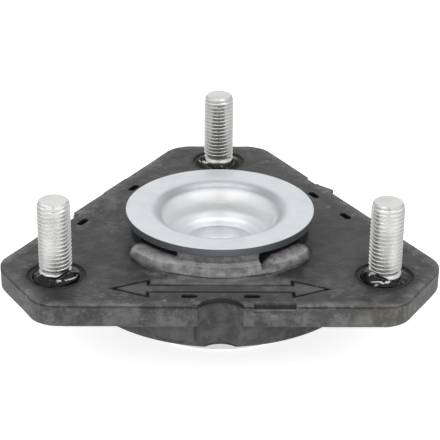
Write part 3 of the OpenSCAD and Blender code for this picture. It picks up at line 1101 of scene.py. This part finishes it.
@dataclass
class Stud:
    """A press-in stud with a rolled thread, and the flash around its foot."""

    corner: Corner
    twist: float
    humps: tuple[tuple[float, float, float], ...]
    radius: float = 5.0
    height: float = 24.5
    pitch: float = 1.25
    thread_deep: float = 0.77
    thread_foot: float = 3.1
    chamfer: tuple[Point2, ...] = ((4.15, 1.2), (4.52, 0.2))
    teeth: int = 42
    tooth_share: float = 0.955
    facets: int = 48

    def thread(self) -> Shape:
        """Builds the threaded length as one helical skin with flat ends."""
        shape = Shape()
        bm = shape.bm
        p, crest, root, bend = self.pitch, self.radius, self.radius - self.thread_deep, 0.25
        chain = [(root, 0.0), (root, 0.02 * p), *arc((crest - bend, 0.5 * p), bend, -59, 59, 5),
                 (root, 0.98 * p), (root, p)]
        verts = [bm.verts.new((r * MM, 0.0, z * MM)) for r, z in chain]
        edges = [bm.edges.new(pair) for pair in zip(verts, verts[1:])]
        turns = int(self.height / p) + 2
        bmesh.ops.spin(bm, geom=[*verts, *edges], cent=(0, 0, 0), axis=(0, 0, 1), angle=math.tau * turns,
                       steps=turns * self.facets, dvec=(0, 0, p / self.facets * MM), use_merge=False)
        bmesh.ops.remove_doubles(bm, verts=bm.verts, dist=2e-6)
        for level, outer in ((self.thread_foot, False), (self.height, True)):
            geom = [*bm.verts, *bm.edges, *bm.faces]
            bmesh.ops.bisect_plane(bm, geom=geom, dist=1e-7, plane_co=(0, 0, level * MM), plane_no=(0, 0, 1),
                                   clear_outer=outer, clear_inner=not outer)
        rims = [e for e in bm.edges if e.is_boundary]
        bmesh.ops.holes_fill(bm, edges=rims, sides=0)

        def point(at: Vector) -> Vector:
            """Draws the topmost turns in to the end's chamfer.

            Args:
                at: A point of the thread.

            Returns:
                Its place, no further out than the chamfer.
            """
            reach = math.hypot(at.x, at.y)
            drop = self.height - at.z
            share = min(1.0, min(end + slope * drop for end, slope in self.chamfer) / max(reach, 0.1))
            return Vector((at.x * share, at.y * share, at.z))

        return shape.warp(point).tidy()

    def shank(self) -> Shape:
        """Builds the run-out, the smooth ring, the serrated shank and the head as one turned solid."""
        section = [(0.0, -7.5), (7.6, -7.5), (8.0, -7.1), (8.0, -5.35), (7.75, -5.1), (5.22, -5.1),
                   (5.22, -1.0), (4.95, -0.6), (4.95, 0.3), *arc((3.60, 0.95), 1.60, -18, 70, 10),
                   (4.15, 2.62), (4.15, 4.0), (0.0, 4.0)]
        shape = Shape.lathe(section, 2 * self.teeth)

        def serrate(at: Vector) -> Vector:
            """Draws every second line of the shank in towards the axis."""
            turn = math.degrees(math.atan2(at.y, at.x)) * self.teeth / 180.0
            low = -5.2 < at.z < -0.9 and 5.0 < math.hypot(at.x, at.y) < 6.0 and round(turn) % 2
            return Vector((at.x * self.tooth_share, at.y * self.tooth_share, at.z)) if low else at

        return shape.warp(serrate)

    def build(self) -> Piece:
        """Builds the stud at its corner."""
        obj = self.thread().solid(f"threaded_stud_{self.corner.name.lower()}")
        combine(obj, self.shank().solid("tool"), Join.ADD)
        obj.data.transform(Matrix.Rotation(math.radians(self.twist), 4, "Z"))
        x, y = plan(self.corner.value, STUD_CIRCLE_R)
        obj.data.transform(Matrix.Translation((x * MM, y * MM, 0.0)))
        smooth(obj, 38.0)
        return obj

    def lift(self, angle: float) -> float:
        """Height of the flash, from 0 up, at an angle in degrees round the stud."""
        return sum(rise * math.exp(-(off_by(angle, centre) / wide) ** 2) for centre, rise, wide in self.humps)

    def flash(self) -> Piece:
        """Builds the uneven bead of flash that was squeezed up round the stud's foot."""
        crown = [(math.cos(math.radians(a)), math.sin(math.radians(a))) for a in range(0, 91, 10)]
        section = [(5.0, -1.8), (6.0, -1.8), *[(5.0 + c, -1.0 + s) for c, s in crown]]
        shape = Shape.lathe(section, 120)

        def squeeze(at: Vector) -> Vector:
            """Swells the bead.

            Args:
                at: A point of the plain bead.

            Returns:
                Its place by the lift at its angle and by lumps.
            """
            reach, angle = math.hypot(at.x, at.y), math.degrees(math.atan2(at.y, at.x))
            lift = self.lift(angle)
            lump = noise.noise(Vector((at.x * 0.27, at.y * 0.27, self.twist)))
            fine = noise.noise(Vector((at.x * 0.6, at.y * 0.6, self.twist + 5.0)))
            out = 5.0 + (reach - 5.0) * (2.3 + 0.25 * lift + 0.6 * lump + 0.15 * fine)
            swell = max(0.3, 1.15 + 1.65 * lift + 0.4 * lump + 0.25 * fine)
            up = at.z if at.z < -1.0 else -1.0 + (at.z + 1.0) * swell
            return Vector((at.x * out / reach, at.y * out / reach, up))

        shape.warp(squeeze)
        x, y = plan(self.corner.value, STUD_CIRCLE_R)
        obj = shape.move(x, y).solid(f"stud_flash_{self.corner.name.lower()}")
        smooth(obj, 80.0)
        return obj


@dataclass(frozen=True)
class Lamp:
    """A square soft lamp that faces the origin; its distance and size are in metres."""

    azimuth: float
    elevation: float
    away: float
    size: float
    power: float


@dataclass
class Studio:
    """Floor, light and camera."""

    aim: Point3 = (0.072, 0.0, 4.595)
    elevation: float = 25.746
    azimuth: float = -0.685
    roll: float = 0.537
    distance: float = 502.35
    lens: float = 130.96
    floor_z: float = -25.05
    lamps: tuple[Lamp, ...] = (Lamp(-36.0, 34.0, 1.25, 1.1, 1.4), Lamp(36.0, 34.0, 1.25, 1.1, 1.4),
                               Lamp(-106.0, 77.0, 1.3, 0.50, 1.8), Lamp(106.0, 77.0, 1.3, 0.50, 1.8))
    sky: float = 0.80
    back: float = 0.93
    gap: float = 0.42
    wing_shade: float = 0.35
    floor_grey: float = 0.60
    floor_glow: float = 0.80
    mirror_far: float = 0.20
    mirror_near: float = 0.54

    def camera(self) -> None:
        """Sets up the camera at the photograph's viewing angle."""
        theta, phi, rho = (math.radians(a) for a in (self.elevation, self.azimuth, self.roll))
        back = Vector((math.sin(phi) * math.cos(theta), -math.cos(phi) * math.cos(theta), math.sin(theta)))
        right = (-back).cross(Vector((0, 0, 1))).normalized()
        up = right.cross(-back)
        x = right * math.cos(rho) + up * math.sin(rho)
        y = up * math.cos(rho) - right * math.sin(rho)
        data = bpy.data.cameras.new("camera")
        data.lens = self.lens
        data.sensor_width = 36.0
        data.clip_start = 0.01
        obj = bpy.data.objects.new("camera", data)
        turn = Matrix((x, y, back)).transposed().to_4x4()
        obj.matrix_world = Matrix.Translation((Vector(self.aim) + back * self.distance) * MM) @ turn
        bpy.context.scene.collection.objects.link(obj)
        bpy.context.scene.camera = obj

    def light(self) -> None:
        """Sets up soft lamps and a white world, dim in a slit between the lamps and at the sides behind."""
        for n, lamp in enumerate(self.lamps):
            a, e = math.radians(lamp.azimuth), math.radians(lamp.elevation)
            data = bpy.data.lights.new(f"softbox_{n}", "AREA")
            data.shape = "RECTANGLE"
            data.size = data.size_y = lamp.size
            data.energy = lamp.power
            obj = bpy.data.objects.new(f"softbox_{n}", data)
            way = Vector((math.sin(a) * math.cos(e), -math.cos(a) * math.cos(e), math.sin(e)))
            turn = way.to_track_quat("Z", "Y").to_matrix().to_4x4()
            obj.matrix_world = Matrix.Translation(way * lamp.away) @ turn
            bpy.context.scene.collection.objects.link(obj)
        world = bpy.data.worlds.new("studio")
        world.use_nodes = True
        g = Graph(world.node_tree)
        way = g.add("ShaderNodeTexCoord").outputs["Generated"]
        x, y, _ = g.parts(way)
        aside = g.size(x)
        above = g.vector("DOT_PRODUCT", way, (0.0, -0.5, 1.0))
        slit = g.times(g.rise(aside, 0.11, 0.05), g.rise(above, 0.35, 0.60))
        wings = g.times(g.rise(aside, 0.30, 0.55), g.rise(y, 0.2, 0.6))
        level = g.spread(slit, g.spread(g.rise(y, 0.1, 0.8), self.sky, self.back), self.gap)
        sky = world.node_tree.nodes["Background"].inputs
        sky["Color"].default_value = (*EVEN, 1.0)
        g.tree.links.new(g.times(level, g.rest(wings, self.wing_shade)), sky["Strength"])
        bpy.context.scene.world = world
        bpy.context.scene.view_settings.view_transform = "Standard"

    def floor(self) -> None:
        """Lays a plain white floor that keeps the object's shadow."""
        shape = Shape()
        bmesh.ops.create_grid(shape.bm, x_segments=8, y_segments=8, size=3.0)
        obj = shape.move(0.0, 0.0, self.floor_z).solid("floor")
        skin = Skin("studio_floor")
        grey = self.floor_grey
        skin.fix({"Base Color": (grey, grey, grey, 1.0), "Roughness": 0.9, "Specular IOR Level": 0.0,
                  "Emission Color": (*EVEN, 1.0)})
        path = skin.add("ShaderNodeLightPath").outputs
        mirrored = skin.lift(skin.step(skin.y, 60.0, -60.0), self.mirror_near, self.mirror_far)
        seen = skin.most(path["Is Camera Ray"], path["Is Transmission Ray"])
        glow = skin.most(skin.times(seen, self.floor_glow), skin.times(path["Is Glossy Ray"], mirrored))
        skin.tree.links.new(glow, skin.shader["Emission Strength"])
        obj.data.materials.append(skin.material)


def corners(box: Sequence[Sequence[float]]) -> list[list[float]]:
    """Turns a box into plain lists of numbers."""
    return [[round(float(c), 6) for c in corner] for corner in box]


def main() -> None:
    """Builds every sub-assembly in order and dresses it."""
    logging.basicConfig(level=logging.INFO, format="%(name)s %(message)s")
    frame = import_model()
    studio = Studio()
    studio.camera()
    studio.light()
    studio.floor()
    fx = Effects()
    rubber = Rubber().material(fx)
    flash = Flash().material(fx)
    # The cup's well and the base's crown get a painted highlight, and the cup's lip a band of painted shade
    # at its bend.
    cup_zinc = Zinc("cup_zinc_plate", (0.76, 0.79, 0.81), (0.70, 0.735, 0.755), rim=FLANGE_R,
                    painted_highlight=(7.2, 6.0), bend=(6.7, 8.98)).material(fx)
    base_zinc = Zinc("base_zinc_plate", (0.84, 0.855, 0.86), (0.76, 0.78, 0.79),
                     painted_highlight=(-14.0, -10.0)).material(fx)
    stud_zinc = Zinc("stud_zinc_plate", (0.775, 0.78, 0.765), (0.675, 0.68, 0.665), (0.22, 0.32)).material(fx)
    steel = Zinc("plate_sheet_steel", (0.66, 0.67, 0.68), (0.56, 0.57, 0.58), (0.35, 0.55)).material(fx)

    plate = frame["nodes"]["mounting_plate"]
    plate.data.materials.clear()
    plate.data.materials.append(steel)
    place(Moulding().build(), "rubber", rubber, "rubber_body")
    spool = Spool()
    place(spool.upper(), "cup_zinc", cup_zinc, "upper_cup")
    place(spool.lower(), "base_zinc", base_zinc, "lower_cup")
    studs = (Stud(Corner.REAR, 20.0, ((190.0, 1.15, 34.0), (350.0, 0.95, 30.0), (90.0, 0.5, 60.0))),
             Stud(Corner.LEFT, 140.0, ((318.0, 1.75, 40.0), (232.0, 1.0, 40.0), (90.0, 0.4, 60.0))),
             Stud(Corner.RIGHT, 265.0, ((215.0, 1.8, 44.0), (270.0, 0.7, 24.0), (90.0, 0.4, 60.0))))
    for stud in studs:
        place(stud.build(), "stud_zinc", stud_zinc, f"stud_{stud.corner.name.lower()}")
        place(stud.flash(), "rubber", flash)


if __name__ == "__main__":
    main()
